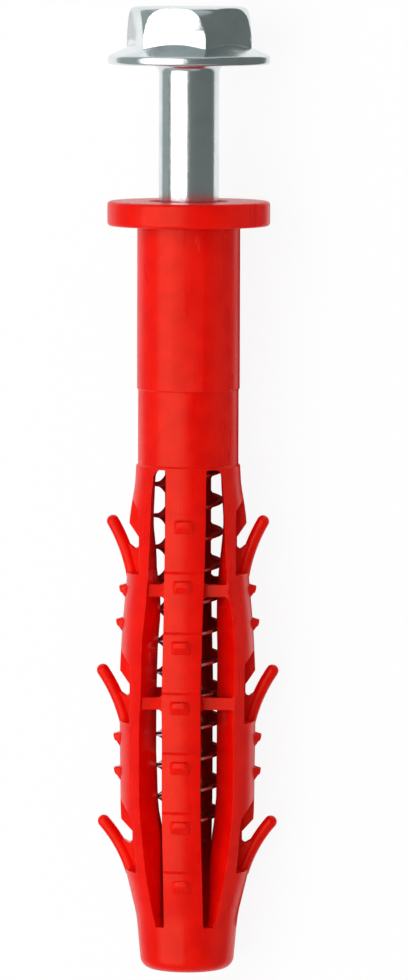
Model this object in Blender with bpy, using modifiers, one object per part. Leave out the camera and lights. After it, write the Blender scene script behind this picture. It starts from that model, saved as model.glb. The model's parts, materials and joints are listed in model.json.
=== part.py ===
"""Frame fixing: a nylon expansion sleeve with a hex flange screw partly driven into it.

Both pieces are modelled upright, with the sleeve's tip at z = 0, and are then laid down
the way the fixing comes to rest on a table.
"""

import math

import bmesh
import bpy
import numpy as np
from mathutils import Matrix, Vector

MM = 0.001  # every size below is in millimetres until it meets a mesh

# Sleeve, heights measured from its tip
SLEEVE_LENGTH = 90.0
COLLAR_RADIUS = 9.5
COLLAR_THICKNESS = 2.85
COLLAR_EDGE = 0.4
SHAFT_RADIUS = 6.0
NECK_RADIUS = 5.87
NECK_LENGTH = 9.0
SLOTTED_LENGTH = 59.2
MOUTH_CHAMFER = 0.35
FLAT_HALF_WIDTH = 1.88
FLAT_MARGIN = 0.15
FLAT_CUT_DEPTH = 0.4

# Barrel outline: height and radius, from the top of the slotted zone to the tip
BARREL_OUTLINE = (
    (57.2, 6.19), (54.4, 6.63), (52.4, 6.86), (49.0, 7.02), (45.9, 7.16), (43.1, 7.41),
    (40.5, 7.64), (37.5, 7.81), (34.5, 7.93), (29.0, 7.95), (23.5, 7.88), (19.1, 7.83),
    (15.5, 7.60), (11.5, 7.17), (9.0, 6.60), (6.0, 5.93), (3.4, 5.68),
)
BARREL_TOP_RADIUS = 6.08
TIP_RADIUS = 5.5
TIP_ROUNDING = 1.3
TIP_BORE_CHAMFER_HEIGHT = 3.6

# Slots that part the front and back strips from the side wings
SLOT_BOTTOM = 5.4
SLOT_HEAD_GAP = 0.2
STRIP_HALF_WIDTH = 2.27
STRIP_SHIFTS = ((38.0, 0.45), (56.0, 0.15))  # height, how far a strip lies off centre
WING_INNER_SHARES = ((38.0, 0.864), (50.0, 0.935))  # height, share of the bore's radius
BACK_SLOT_SHARES = ((13.7, 0.05), (14.6, 0.32), (15.6, 0.48), (17.0, 0.68), (18.3, 0.85), (19.6, 1.0))
SLOT_ROUNDING = 0.6
SLOT_END_SHARE = 0.4  # the most of the slot's width that the rounding takes on one side
SLOT_OVERLAP = 0.6
CUT_REACH = 2.0
WING_EDGE = (
    (6.7, 3.85), (8.6, 4.24), (12.5, 4.85), (15.6, 5.2), (20.0, 5.6), (27.2, 5.66),
    (34.2, 5.55), (40.7, 5.3), (44.2, 4.8), (50.0, 4.45), (54.8, 4.22), (58.0, 4.0),
)

# Saw teeth and raised pads down the strips, nubs down the sides
TOOTH_BOTTOM = 12.0
TOOTH_PITCH = 7.0
TOOTH_COUNT = 6
TOOTH_DEPTH = 0.28
TOOTH_SKIN = 0.03
LEDGE_DROP = 0.001
PAD_BOTTOM = 10.5
PAD_PITCH = 7.0
PAD_COUNT = 7
PAD_WIDTH = 2.05
PAD_HEIGHT = 1.5
PAD_PROUD = 0.4
PAD_SIDE = 0.2  # how much further off centre than the strip
NUB_HEIGHTS = (44.45, 40.5, 27.1, 23.1)
NUB_WIDTH = 2.0
NUB_HEIGHT = 1.65
NUB_PROUD = 0.75
PAD_ROOT = 0.8
PAD_FOOT = 0.12
PAD_FACE_SHARE = 0.45
PAD_EDGE = 0.1

# Webs tie the strips to the wings, front and back, until the screw spreads them
WEB_HEIGHTS = (44.8, 31.4)
WEB_HEIGHT = 1.57
WEB_SET_BACK = 0.25
WEB_THICKNESS = 0.75
WEB_SUNK_END = 0.15

# Whisker barbs: tip centre, root slope and tip slope from the axis in degrees, pocket floor,
# gap side, gap floor, and the barrel corner above the gap with its height
WHISKERS = (
    {"tip": (8.77, 52.6), "slopes": (10.0, 30.0), "floor": 46.3, "gap_x": 5.73,
     "gap_floor": 49.4, "corner": (6.84, 52.45), "floor_x": 5.62, "top": 53.5},
    {"tip": (9.92, 35.08), "slopes": (13.0, 34.0), "floor": 28.8, "gap_x": 6.77,
     "gap_floor": 32.1, "corner": (7.93, 35.2), "floor_x": 6.66, "top": 36.1},
    {"tip": (9.73, 17.28), "slopes": (17.0, 41.0), "floor": 11.4, "gap_x": 6.42,
     "gap_floor": 14.8, "corner": (7.83, 17.75), "floor_x": 5.80, "top": 18.7},
)
WHISKER_THICKNESS = 1.45
WHISKER_WIDTH = 1.9
WHISKER_ROOT = 1.0
WHISKER_ROOT_SHARE = 0.6
PLATE_HALF_WIDTH = 0.8
POCKET_RUNOUT = math.radians(55)
POCKET_SET_BACK = 0.08
GAP_RISE = 1.4
GAP_REACH = 1.5
GAP_OVERLAP = 0.3
GAP_ROUNDING = 0.4

# Screw, lengths measured from the underside of its flange
SCREW_LENGTH = 95.0
SCREW_STAND_OFF = 15.9
SHANK_RADIUS = 3.5
SHANK_LENGTH = 41.5
SHANK_END = 0.6
FLANGE_INSET = 0.06  # the flange's rim lies just inside the collar's
FLANGE_RIM = 1.1
FLANGE_CONE = ((5.5, 2.8), (6.3, 2.5), (7.2, 2.0))  # radius and height above its underside
FLANGE_FILLET = 1.0
RIM_ROUNDING = 0.35
HEX_ACROSS_FLATS = 13.0
HEX_ROOT = 1.3
HEAD_HEIGHT = 6.7
# Corner trim: share of the hexagon's corner radius, and depth below the head's top
HEX_TRIM = ((0.813, 0.0), (0.895, 0.25), (0.93, 0.7), (0.959, 1.35), (0.98, 2.4), (1.014, 4.4))
HEX_CUT_RISE = 0.5
HEX_TURN = math.radians(-12.9)

# Thread
CORE_RADIUS = 2.7
CORE_OVERLAP = 1.5
THREAD_RADIUS = 4.1
THREAD_PITCH = 3.67
THREAD_CREST_WIDTH = 0.26
THREAD_MID_WIDTH = 0.74
THREAD_MID_SHARE = 0.3
THREAD_ROOT_WIDTH = 1.9
THREAD_ROOT_SINK = 0.2
THREAD_PHASE = math.radians(102.0)
THREAD_START = 1.2
POINT_LENGTH = 8.0
POINT_RADIUS = 0.25
POINT_THREAD_HEIGHT = 0.25  # share of the full thread at the very point
POINT_THREAD_WIDTH = 0.45
RUN_OUT_TURNS = 0.6
RUN_OUT_SINK = 0.05
THREAD_CLEARANCE = 0.3

ROUND_STEPS = 60
SCREW_STEPS = 42
THREAD_STEPS = 16
CORNER_STEPS = 2
WHISKER_STEPS = 6
WHISKER_SIDES = 10
WHISKER_TIP_ANGLES = (32, 60, 82)

SMOOTH_ANGLE = math.radians(35)

NYLON_DENSITY = 1140.0
STEEL_DENSITY = 7850.0
REST_SIDE = Vector((0.556, 0.831, 0.0))  # the side of the upright sleeve that lies lowest

COLLAR_UNDERSIDE = SLEEVE_LENGTH - COLLAR_THICKNESS
NECK_TOP = SLOTTED_LENGTH + NECK_LENGTH
BORE_RADIUS = THREAD_RADIUS + THREAD_CLEARANCE
SLOT_TOP = SLOTTED_LENGTH - SLOT_HEAD_GAP
FLANGE_Z = SLEEVE_LENGTH + SCREW_STAND_OFF
FLANGE_RADIUS = COLLAR_RADIUS - FLANGE_INSET
POINT_Z = FLANGE_Z - SCREW_LENGTH
THREAD_TOP_Z = FLANGE_Z - SHANK_LENGTH
HEAD_TOP_Z = FLANGE_Z + HEAD_HEIGHT


def clear_scene():
    for old in list(bpy.data.objects):
        bpy.data.objects.remove(old)


def make_collection(name):
    collection = bpy.data.collections.new(name)
    bpy.context.scene.collection.children.link(collection)
    return collection


def make_material(name, colour, metallic, roughness):
    material = bpy.data.materials.new(name)
    material.use_nodes = True
    shader = material.node_tree.nodes["Principled BSDF"]
    shader.inputs["Base Color"].default_value = (*colour, 1.0)
    shader.inputs["Metallic"].default_value = metallic
    shader.inputs["Roughness"].default_value = roughness
    return material


def make_object(name, build, collection):
    """A new object from a function that fills a bmesh, with the mesh scaled to metres."""
    bm = bmesh.new()
    build(bm)
    bmesh.ops.scale(bm, vec=(MM, MM, MM), verts=bm.verts)
    mesh = bpy.data.meshes.new(name)
    bm.to_mesh(mesh)
    bm.free()
    made = bpy.data.objects.new(name, mesh)
    collection.objects.link(made)
    return made


def make_cutter(made):
    made.hide_render = True
    made.display_type = "WIRE"
    return made


def arc(centre_x, centre_z, radius, start, end, steps=CORNER_STEPS):
    """Points on an arc from the start angle to the end angle, both in degrees."""
    angles = np.linspace(math.radians(start), math.radians(end), steps + 1)
    return [(centre_x + radius * math.cos(a), centre_z + radius * math.sin(a)) for a in angles]


def draw_profile(bm, points, closed):
    verts = [bm.verts.new((x, 0.0, z)) for x, z in points]
    for first, second in zip(verts, verts[1:]):
        bm.edges.new((first, second))
    if closed:
        bm.edges.new((verts[-1], verts[0]))


def turned(name, points, steps, collection, closed=True):
    """A profile in the XZ plane turned about Z; it runs down its outer side."""
    made = make_object(name, lambda bm: draw_profile(bm, points, closed), collection)
    screw = made.modifiers.new("Turn", "SCREW")
    screw.steps = steps
    screw.render_steps = steps
    screw.use_merge_vertices = True
    screw.merge_threshold = 0.00001
    return made


def loft(bm, rings):
    """Closed body through rings of points that all have the same count."""
    rows = [[bm.verts.new(point) for point in ring] for ring in rings]
    count = len(rows[0])
    for low, high in zip(rows, rows[1:]):
        for i in range(count):
            j = (i + 1) % count
            bm.faces.new((low[i], low[j], high[j], high[i]))
    bm.faces.new(list(reversed(rows[0])))
    bm.faces.new(rows[-1])


def prism(bm, outline, half_depth, offset=0.0):
    """An outline in the XZ plane made solid along Y, about y = offset."""
    front = [(x, offset - half_depth, z) for x, z in outline]
    back = [(x, offset + half_depth, z) for x, z in outline]
    loft(bm, (front, back))


def mirrored(bm, build, flip_x=True, flip_y=False):
    """Repeats what build makes on the other side of x = 0, and of y = 0 if asked."""
    sides_x = (1, -1) if flip_x else (1,)
    sides_y = (1, -1) if flip_y else (1,)
    for side_x in sides_x:
        for side_y in sides_y:
            before = set(bm.verts)
            build(bm)
            new_verts = [v for v in bm.verts if v not in before]
            bmesh.ops.scale(bm, vec=(side_x, side_y, 1), verts=new_verts)
    bmesh.ops.recalc_face_normals(bm, faces=bm.faces)


def boolean(target, tool, operation):
    modifier = target.modifiers.new(operation.title(), "BOOLEAN")
    modifier.operation = operation
    modifier.object = tool
    modifier.solver = "EXACT"


def barrel_stations():
    return [(SLOTTED_LENGTH, BARREL_TOP_RADIUS), *BARREL_OUTLINE, (TIP_ROUNDING, TIP_RADIUS)]


def barrel_radius(z):
    heights, radii = zip(*reversed(barrel_stations()))
    return float(np.interp(z, heights, radii))


def wing_edge_x(z):
    heights, edges = zip(*WING_EDGE)
    return float(np.interp(z, heights, edges))


def wing_inner_x(z):
    """Where a wing's slot face meets the bore."""
    heights, shares = zip(*WING_INNER_SHARES)
    return BORE_RADIUS * float(np.interp(z, heights, shares))


def strip_shift(z):
    heights, shifts = zip(*STRIP_SHIFTS)
    return float(np.interp(z, heights, shifts))


def barrel_depth(x, z):
    """How far in front of the axis the barrel's skin lies at a distance x to the side."""
    return math.sqrt(barrel_radius(z) ** 2 - x ** 2)


def sleeve_profile():
    edge_x = COLLAR_RADIUS - COLLAR_EDGE
    outer = [(BORE_RADIUS + MOUTH_CHAMFER, SLEEVE_LENGTH)]
    outer += arc(edge_x, SLEEVE_LENGTH - COLLAR_EDGE, COLLAR_EDGE, 90, 0)
    outer += arc(edge_x, COLLAR_UNDERSIDE + COLLAR_EDGE, COLLAR_EDGE, 0, -90)
    outer += [(SHAFT_RADIUS, COLLAR_UNDERSIDE), (SHAFT_RADIUS, NECK_TOP)]
    outer += [(NECK_RADIUS, NECK_TOP - (SHAFT_RADIUS - NECK_RADIUS))]
    outer += [(NECK_RADIUS, SLOTTED_LENGTH + (BARREL_TOP_RADIUS - NECK_RADIUS))]
    outer += [(radius, z) for z, radius in barrel_stations()]
    outer += arc(TIP_RADIUS - TIP_ROUNDING, TIP_ROUNDING, TIP_ROUNDING, 0, -65)[1:]
    outer += [(TIP_RADIUS - TIP_ROUNDING, 0.0)]
    bore = [(point_envelope(0.0), 0.0), (BORE_RADIUS, TIP_BORE_CHAMFER_HEIGHT)]
    bore += [(BORE_RADIUS, SLEEVE_LENGTH - MOUTH_CHAMFER)]
    return outer + bore


def point_envelope(z):
    """Radius that clears the driven screw's tapered point at a height inside the tip."""
    driven_point = POINT_Z - SCREW_STAND_OFF + THREAD_CLEARANCE
    share = min((z - driven_point) / POINT_LENGTH, 1.0)
    return THREAD_RADIUS * share + THREAD_CLEARANCE


def slot_section(z, inset, side, share=1.0):
    """One slot behind, between the strip and the wing on a side, as four corners."""
    inner_x, outer_x = wing_inner_x(z), wing_edge_x(z)
    inner_y = math.sqrt(BORE_RADIUS ** 2 - inner_x ** 2)
    lean = (outer_x - inner_x) / (barrel_depth(outer_x, z) - inner_y)
    near_y = inner_y - SLOT_OVERLAP
    far_y = barrel_radius(z) + CUT_REACH
    strip_x = STRIP_HALF_WIDTH + side * strip_shift(z)
    inset = min(inset, SLOT_END_SHARE * (inner_x - strip_x))
    strip_x += inset
    near_x, far_x = (
        strip_x + (inner_x + lean * (y - inner_y) - inset - strip_x) * share for y in (near_y, far_y)
    )
    corners = [(strip_x, near_y), (near_x, near_y), (far_x, far_y), (strip_x, far_y)]
    return [(side * x, y, z) for x, y in corners]


def slot_end(end, towards, side):
    """Sections that round a slot's end, from its straight part out to the end."""
    turns = np.linspace(0, math.pi / 2, CORNER_STEPS + 1)
    steps = [(SLOT_ROUNDING * (1 - math.cos(a)), SLOT_ROUNDING * (1 - math.sin(a))) for a in turns]
    return [slot_section(end + towards * drop, inset, side) for inset, drop in steps]


def build_slots(bm, lower_end):
    """A pair of slots behind, from the lower end's sections up along the wing's edge."""
    for side in (1, -1):
        rings = lower_end(side)
        low = rings[-1][0][2]
        heights = [z for z, _ in WING_EDGE if low < z < SLOT_TOP - SLOT_ROUNDING]
        rings += [slot_section(z, 0.0, side) for z in heights]
        rings += slot_end(SLOT_TOP, -1, side)
        loft(bm, rings)
    bmesh.ops.recalc_face_normals(bm, faces=bm.faces)


def build_front_slots(bm):
    build_slots(bm, lambda side: list(reversed(slot_end(SLOT_BOTTOM, 1, side))))
    bmesh.ops.scale(bm, vec=(-1, -1, 1), verts=bm.verts)


def build_back_slots(bm):
    """The slots behind close to a point above the tip."""
    def closing(side):
        return [slot_section(z, 0.0, side, share) for z, share in BACK_SLOT_SHARES]

    build_slots(bm, closing)


def tooth_profile():
    """Ring section that planes the strips into saw teeth, ledges facing the head."""
    reach = max(radius for _, radius in BARREL_OUTLINE) + CUT_REACH
    top = TOOTH_BOTTOM + TOOTH_COUNT * TOOTH_PITCH
    line = []
    for i in range(TOOTH_COUNT):
        ledge = TOOTH_BOTTOM + i * TOOTH_PITCH
        line.append((barrel_radius(ledge) - TOOTH_SKIN - TOOTH_DEPTH, ledge))
        middle = ledge + TOOTH_PITCH / 2
        line.append((barrel_radius(middle) - TOOTH_SKIN - TOOTH_DEPTH / 2, middle))
        end = ledge + TOOTH_PITCH
        line.append((barrel_radius(end) - TOOTH_SKIN, end - LEDGE_DROP))
    line[-1] = (barrel_radius(top) + TOOTH_SKIN, top)
    return [(reach, top), (reach, TOOTH_BOTTOM), *line]


def build_tooth_window(bm):
    """A tall box that keeps the teeth to the two strips, its sides inside the slots."""
    width = STRIP_HALF_WIDTH + wing_inner_x(0.0)
    bmesh.ops.create_cube(bm, size=1.0)
    bmesh.ops.scale(bm, vec=(width, 4 * COLLAR_RADIUS, SLEEVE_LENGTH), verts=bm.verts)
    bmesh.ops.translate(bm, vec=(0, 0, SLEEVE_LENGTH / 2), verts=bm.verts)


def whisker_line(whisker):
    """Centre points of a whisker from its sunk root to its tip, with their slopes."""
    root_slope, tip_slope = (math.radians(a) for a in whisker["slopes"])
    tip_x, tip_z = whisker["tip"]
    chord = (tip_z - whisker["floor"]) / math.cos((root_slope + tip_slope) / 2)
    turn = tip_slope - root_slope
    radius = chord / (2 * math.sin(turn / 2))
    points = []
    for slope in np.linspace(root_slope, tip_slope, WHISKER_STEPS + 1):
        x = tip_x + radius * (math.cos(tip_slope) - math.cos(slope))
        z = tip_z + radius * (math.sin(slope) - math.sin(tip_slope))
        points.append((x, z, slope))
    first_x, first_z, _ = points[0]
    sunk_x = first_x - WHISKER_ROOT * math.sin(root_slope)
    sunk_z = first_z - WHISKER_ROOT * math.cos(root_slope)
    return [(sunk_x, sunk_z, root_slope), *points]


def whisker_ring(x, z, slope, share):
    """Oval section across the whisker's line, scaled by share."""
    ring = []
    for angle in np.linspace(0, 2 * math.pi, WHISKER_SIDES, endpoint=False):
        across = math.cos(angle) * WHISKER_THICKNESS / 2 * share
        depth = math.sin(angle) * WHISKER_WIDTH / 2 * share
        ring.append((x + across * math.cos(slope), depth, z - across * math.sin(slope)))
    return ring


def build_whisker(bm, whisker):
    line = whisker_line(whisker)
    rings = [whisker_ring(*line[0], WHISKER_ROOT_SHARE)]
    rings += [whisker_ring(*point, 1.0) for point in line[1:]]
    tip_x, tip_z, slope = line[-1]
    for angle in WHISKER_TIP_ANGLES:
        rise = math.sin(math.radians(angle)) * WHISKER_THICKNESS / 2
        x = tip_x + rise * math.sin(slope)
        z = tip_z + rise * math.cos(slope)
        rings.append(whisker_ring(x, z, slope, math.cos(math.radians(angle))))
    loft(bm, rings)


def build_pocket(bm, whisker):
    """Clears the wing on both sides of the thin plate that carries a whisker."""
    side = whisker["gap_x"] - POCKET_SET_BACK
    reach = COLLAR_RADIUS + CUT_REACH
    top_out = whisker["top"] + (reach - side) * math.tan(POCKET_RUNOUT)
    outline = [(whisker["floor_x"], whisker["floor"]), (reach, whisker["floor"])]
    outline += [(reach, top_out), (side, whisker["top"])]
    prism(bm, outline, COLLAR_RADIUS / 2, PLATE_HALF_WIDTH + COLLAR_RADIUS / 2)


def build_gap(bm, whisker):
    """The open gap between a whisker and the barrel, cut through the thin plate."""
    side = whisker["gap_x"]
    floor = whisker["gap_floor"]
    corner_x, corner_z = whisker["corner"]
    shoulder_z = floor + GAP_RISE
    lean = (corner_z - shoulder_z) / (corner_x - side)
    outline = arc(side + GAP_ROUNDING, floor + GAP_ROUNDING, GAP_ROUNDING, 270, 180)
    outline += [(side, shoulder_z), (corner_x + GAP_REACH, corner_z + GAP_REACH * lean)]
    centre = [(x, z) for x, z, _ in whisker_line(whisker) if z > floor]
    outline += list(reversed(centre))
    prism(bm, outline, PLATE_HALF_WIDTH + GAP_OVERLAP)


def build_raised(bm, angle, z, width, height, proud):
    """A raised wedge on the barrel: square towards the head, ramped towards the tip."""
    surface = barrel_radius(z)
    root = surface - PAD_ROOT
    high, low = z + height / 2, z - height / 2
    face = surface + proud
    section = [(root, low), (surface + PAD_FOOT, low), (face, high - height * PAD_FACE_SHARE)]
    section += [(face, high - PAD_EDGE), (face - PAD_EDGE, high), (root, high)]
    before = set(bm.verts)
    prism(bm, section, width / 2)
    new_verts = [v for v in bm.verts if v not in before]
    bmesh.ops.rotate(bm, verts=new_verts, matrix=Matrix.Rotation(angle, 3, "Z"))


def build_all_raised(bm):
    quarter = math.pi / 2
    for i in range(PAD_COUNT):
        z = PAD_BOTTOM + i * PAD_PITCH
        turn = (strip_shift(z) + PAD_SIDE) / barrel_radius(z)
        for angle in (quarter, -quarter):
            build_raised(bm, angle - turn, z, PAD_WIDTH, PAD_HEIGHT, PAD_PROUD)
    for z in NUB_HEIGHTS:
        for angle in (0.0, 2 * quarter):
            build_raised(bm, angle, z, NUB_WIDTH, NUB_HEIGHT, NUB_PROUD)
    bmesh.ops.recalc_face_normals(bm, faces=bm.faces)


def build_webs(bm):
    """Flat bars across a strip, their ends sunk in the wings just behind the slots' edges."""
    for z in WEB_HEIGHTS:
        edge = wing_edge_x(z)
        reach = edge + WEB_SUNK_END
        high, low = z + WEB_HEIGHT / 2, z - WEB_HEIGHT / 2
        middle = barrel_depth(edge, z) - WEB_SET_BACK - WEB_THICKNESS / 2
        outline = [(-reach, low), (reach, low), (reach, high), (-reach, high)]
        prism(bm, outline, WEB_THICKNESS / 2, middle)


def build_flats(bm):
    """Two boxes that leave the chord flats on the upper shaft, front and back."""
    depth = SHAFT_RADIUS - math.sqrt(SHAFT_RADIUS ** 2 - FLAT_HALF_WIDTH ** 2)
    low, high = NECK_TOP - FLAT_MARGIN, COLLAR_UNDERSIDE - FLAT_MARGIN
    outline = [(-SHAFT_RADIUS, low), (SHAFT_RADIUS, low), (SHAFT_RADIUS, high), (-SHAFT_RADIUS, high)]
    prism(bm, outline, FLAT_CUT_DEPTH, SHAFT_RADIUS - depth + FLAT_CUT_DEPTH)


def make_sleeve(collection, cutters):
    sleeve = turned("expansion_sleeve", sleeve_profile(), ROUND_STEPS, collection)

    for name, build in (("front_slots", build_front_slots), ("back_slots", build_back_slots)):
        slots = make_object(name, build, cutters)
        boolean(sleeve, make_cutter(slots), "DIFFERENCE")

    window = make_cutter(make_object("tooth_window", build_tooth_window, cutters))
    teeth = make_cutter(turned("teeth", tooth_profile(), ROUND_STEPS, cutters))
    boolean(teeth, window, "INTERSECT")
    boolean(sleeve, teeth, "DIFFERENCE")

    def all_pockets(bm):
        for whisker in WHISKERS:
            build_pocket(bm, whisker)

    def all_gaps(bm):
        for whisker in WHISKERS:
            build_gap(bm, whisker)

    def all_whiskers(bm):
        for whisker in WHISKERS:
            build_whisker(bm, whisker)

    pockets = make_object("pockets", lambda bm: mirrored(bm, all_pockets, True, True), cutters)
    boolean(sleeve, make_cutter(pockets), "DIFFERENCE")
    gaps = make_object("gaps", lambda bm: mirrored(bm, all_gaps), cutters)
    boolean(sleeve, make_cutter(gaps), "DIFFERENCE")
    flats = make_object("flats", lambda bm: mirrored(bm, build_flats, False, True), cutters)
    boolean(sleeve, make_cutter(flats), "DIFFERENCE")

    webs = make_object("webs", lambda bm: mirrored(bm, build_webs, False, True), cutters)
    boolean(sleeve, make_cutter(webs), "UNION")
    raised = make_object("raised_pads", build_all_raised, cutters)
    boolean(sleeve, make_cutter(raised), "UNION")
    whiskers = make_object("whiskers", lambda bm: mirrored(bm, all_whiskers), cutters)
    boolean(sleeve, make_cutter(whiskers), "UNION")
    return sleeve


def flange_profile():
    """Shank, underside fillet, flange rim and the cone that runs up into the hexagon."""
    rim_low, rim_high = FLANGE_Z, FLANGE_Z + FLANGE_RIM
    rim_x = FLANGE_RADIUS - RIM_ROUNDING
    top = [(0.0, FLANGE_Z + FLANGE_CONE[0][1])]
    top += [(radius, FLANGE_Z + rise) for radius, rise in FLANGE_CONE]
    top += arc(rim_x, rim_high - RIM_ROUNDING, RIM_ROUNDING, 60, 0)
    under = arc(rim_x, rim_low + RIM_ROUNDING, RIM_ROUNDING, 0, -90)
    fillet_x = SHANK_RADIUS + FLANGE_FILLET
    fillet = arc(fillet_x, rim_low - FLANGE_FILLET, FLANGE_FILLET, 90, 180)
    end_z = THREAD_TOP_Z - SHANK_END
    shank = [(SHANK_RADIUS, THREAD_TOP_Z), (CORE_RADIUS - SHANK_END, end_z), (0.0, end_z)]
    return top + under + fillet + shank


def core_radius(z):
    share = min(max((z - POINT_Z) / POINT_LENGTH, 0.0), 1.0)
    return POINT_RADIUS + (CORE_RADIUS - POINT_RADIUS) * share


def core_profile():
    top = THREAD_TOP_Z + CORE_OVERLAP
    outer = [(0.0, top), (CORE_RADIUS, top), (CORE_RADIUS, POINT_Z + POINT_LENGTH)]
    return outer + [(POINT_RADIUS, POINT_Z), (0.0, POINT_Z)]


def thread_ring(angle, z, height_share, width_share):
    core = core_radius(z)
    depth = (THREAD_RADIUS - CORE_RADIUS) * height_share
    widths = (THREAD_ROOT_WIDTH, THREAD_MID_WIDTH, THREAD_CREST_WIDTH)
    half_widths = [width * width_share / 2 for width in widths]
    radii = [core - THREAD_ROOT_SINK, core + depth * THREAD_MID_SHARE, core + depth]
    section = [(r, -w) for r, w in zip(radii, half_widths)]
    section += [(r, w) for r, w in reversed(list(zip(radii, half_widths)))]
    return [(r * math.cos(angle), r * math.sin(angle), z + rise) for r, rise in section]


def build_thread(bm):
    """Right-hand helical ridge: full height along the core, fading at its two ends."""
    start = POINT_Z + THREAD_START
    end = THREAD_TOP_Z - THREAD_ROOT_WIDTH
    steps = int((end - start) / THREAD_PITCH * THREAD_STEPS)
    rings = []
    for i in range(steps + 1):
        turns = i / THREAD_STEPS
        z = start + turns * THREAD_PITCH
        grow = min((z - POINT_Z) / POINT_LENGTH, 1.0)
        fade = min((steps - i) / (RUN_OUT_TURNS * THREAD_STEPS), 1.0)
        height = POINT_THREAD_HEIGHT + (1 - POINT_THREAD_HEIGHT) * grow
        width = POINT_THREAD_WIDTH + (1 - POINT_THREAD_WIDTH) * grow
        angle = THREAD_PHASE + turns * 2 * math.pi
        rings.append(thread_ring(angle, z, height * fade - RUN_OUT_SINK * (1 - fade), width))
    loft(bm, rings)
    bmesh.ops.recalc_face_normals(bm, faces=bm.faces)


def build_hexagon(bm):
    across_corners = HEX_ACROSS_FLATS / 2 / math.cos(math.pi / 6)
    low = FLANGE_Z + HEX_ROOT
    bmesh.ops.create_cone(bm, cap_ends=True, segments=6, radius1=across_corners,
                          radius2=across_corners, depth=HEAD_TOP_Z - low)
    bmesh.ops.rotate(bm, verts=bm.verts, matrix=Matrix.Rotation(math.pi / 6, 3, "Z"))
    bmesh.ops.translate(bm, vec=(0, 0, (HEAD_TOP_Z + low) / 2), verts=bm.verts)


def corner_profile():
    """Turned outline that trims the hexagon's corners and rounds its top edge."""
    low = FLANGE_Z + FLANGE_RIM
    above = HEAD_TOP_Z + HEX_CUT_RISE
    corner = HEX_ACROSS_FLATS / 2 / math.cos(math.pi / 6)
    trim = [(share * corner, HEAD_TOP_Z - depth) for share, depth in HEX_TRIM]
    top_x, bottom_x = trim[0][0], trim[-1][0]
    return [(0.0, above), (top_x, above), *trim, (bottom_x, low), (0.0, low)]


def make_screw(collection, cutters):
    screw = turned("flange_head_screw", flange_profile(), SCREW_STEPS, collection, closed=False)
    hexagon = make_cutter(make_object("hexagon", build_hexagon, cutters))
    corners = make_cutter(turned("hex_corners", corner_profile(), SCREW_STEPS, cutters, closed=False))
    hexagon.rotation_euler.z = HEX_TURN
    corners.rotation_euler.z = HEX_TURN
    boolean(hexagon, corners, "INTERSECT")
    boolean(screw, hexagon, "UNION")
    core = make_cutter(turned("core", core_profile(), THREAD_STEPS, cutters, closed=False))
    core.rotation_euler.z = THREAD_PHASE
    boolean(screw, core, "UNION")
    thread = make_cutter(make_object("thread", build_thread, cutters))
    boolean(screw, thread, "UNION")
    return screw


def evaluated_bmesh(item):
    bm = bmesh.new()
    bm.from_object(item, bpy.context.evaluated_depsgraph_get())
    return bm


def centre_of_mass(pieces):
    """Centre of mass of upright pieces, from the signed volumes under their faces."""
    total, moment = 0.0, Vector()
    for item, density in pieces:
        bm = evaluated_bmesh(item)
        bmesh.ops.triangulate(bm, faces=bm.faces)
        for face in bm.faces:
            a, b, c = (v.co for v in face.verts)
            mass = a.dot(b.cross(c)) / 6 * density
            total += mass
            moment += mass * (a + b + c) / 4
        bm.free()
    return moment / total


def resting_face(points, centre):
    """Normal of the hull face that the pieces rest on: the one under their centre of mass."""
    hull = bmesh.new()
    for point in points:
        hull.verts.new(point)
    bmesh.ops.convex_hull(hull, input=hull.verts)
    best, best_match = None, -1.0
    middle = sum((v.co for v in hull.verts), Vector()) / len(hull.verts)
    for face in hull.faces:
        a, b, c = (v.co.copy() for v in face.verts[:3])
        normal = (b - a).cross(c - a).normalized()
        if normal.dot(a - middle) < 0:
            normal = -normal
        foot = centre + normal * normal.dot(a - centre)
        sides = [(q - p).cross(foot - p).dot(normal) for p, q in ((a, b), (b, c), (c, a))]
        inside = all(s >= 0 for s in sides) or all(s <= 0 for s in sides)
        match = normal.dot(REST_SIDE)
        if inside and match > best_match:
            best, best_match = normal, match
    hull.free()
    return best


def resting_matrix(pieces):
    """Turns the upright pieces so that they lie on their resting face, head towards +Y."""
    points = []
    for item, _ in pieces:
        bm = evaluated_bmesh(item)
        points += [v.co.copy() for v in bm.verts]
        bm.free()
    up = -resting_face(points, centre_of_mass(pieces))
    along = Vector((0, 0, 1))
    along = (along - up * along.dot(up)).normalized()
    turn = Matrix((along.cross(up), along, up)).to_4x4()
    turned_points = [turn @ p for p in points]
    low = Vector(min(p[i] for p in turned_points) for i in range(3))
    high = Vector(max(p[i] for p in turned_points) for i in range(3))
    base = Vector(((low.x + high.x) / 2, (low.y + high.y) / 2, low.z))
    return Matrix.Translation(-base) @ turn


def smooth(item):
    item.data.shade_smooth()
    item.data.set_sharp_from_angle(angle=SMOOTH_ANGLE)


def main():
    clear_scene()
    parts = make_collection("frame_fixing")
    cutters = make_collection("cutters")
    sleeve = make_sleeve(parts, cutters)
    screw = make_screw(parts, cutters)
    sleeve.data.materials.append(make_material("red_nylon", (0.80, 0.02, 0.005), 0.0, 0.38))
    screw.data.materials.append(make_material("zinc_plated_steel", (0.72, 0.76, 0.80), 1.0, 0.25))
    for item in (sleeve, screw):
        smooth(item)
    bpy.context.view_layer.update()

    rest = bpy.data.objects.new("rest_pose", None)
    parts.objects.link(rest)
    laid = resting_matrix(((sleeve, NYLON_DENSITY), (screw, STEEL_DENSITY)))
    for item in [*parts.objects, *cutters.objects]:
        if item is not rest:
            item.parent = rest
    rest.matrix_world = laid
    bpy.context.view_layer.update()


main()
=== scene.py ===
import json
import math

import bmesh
import bpy
import numpy as np
from mathutils import Matrix, Vector


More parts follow.
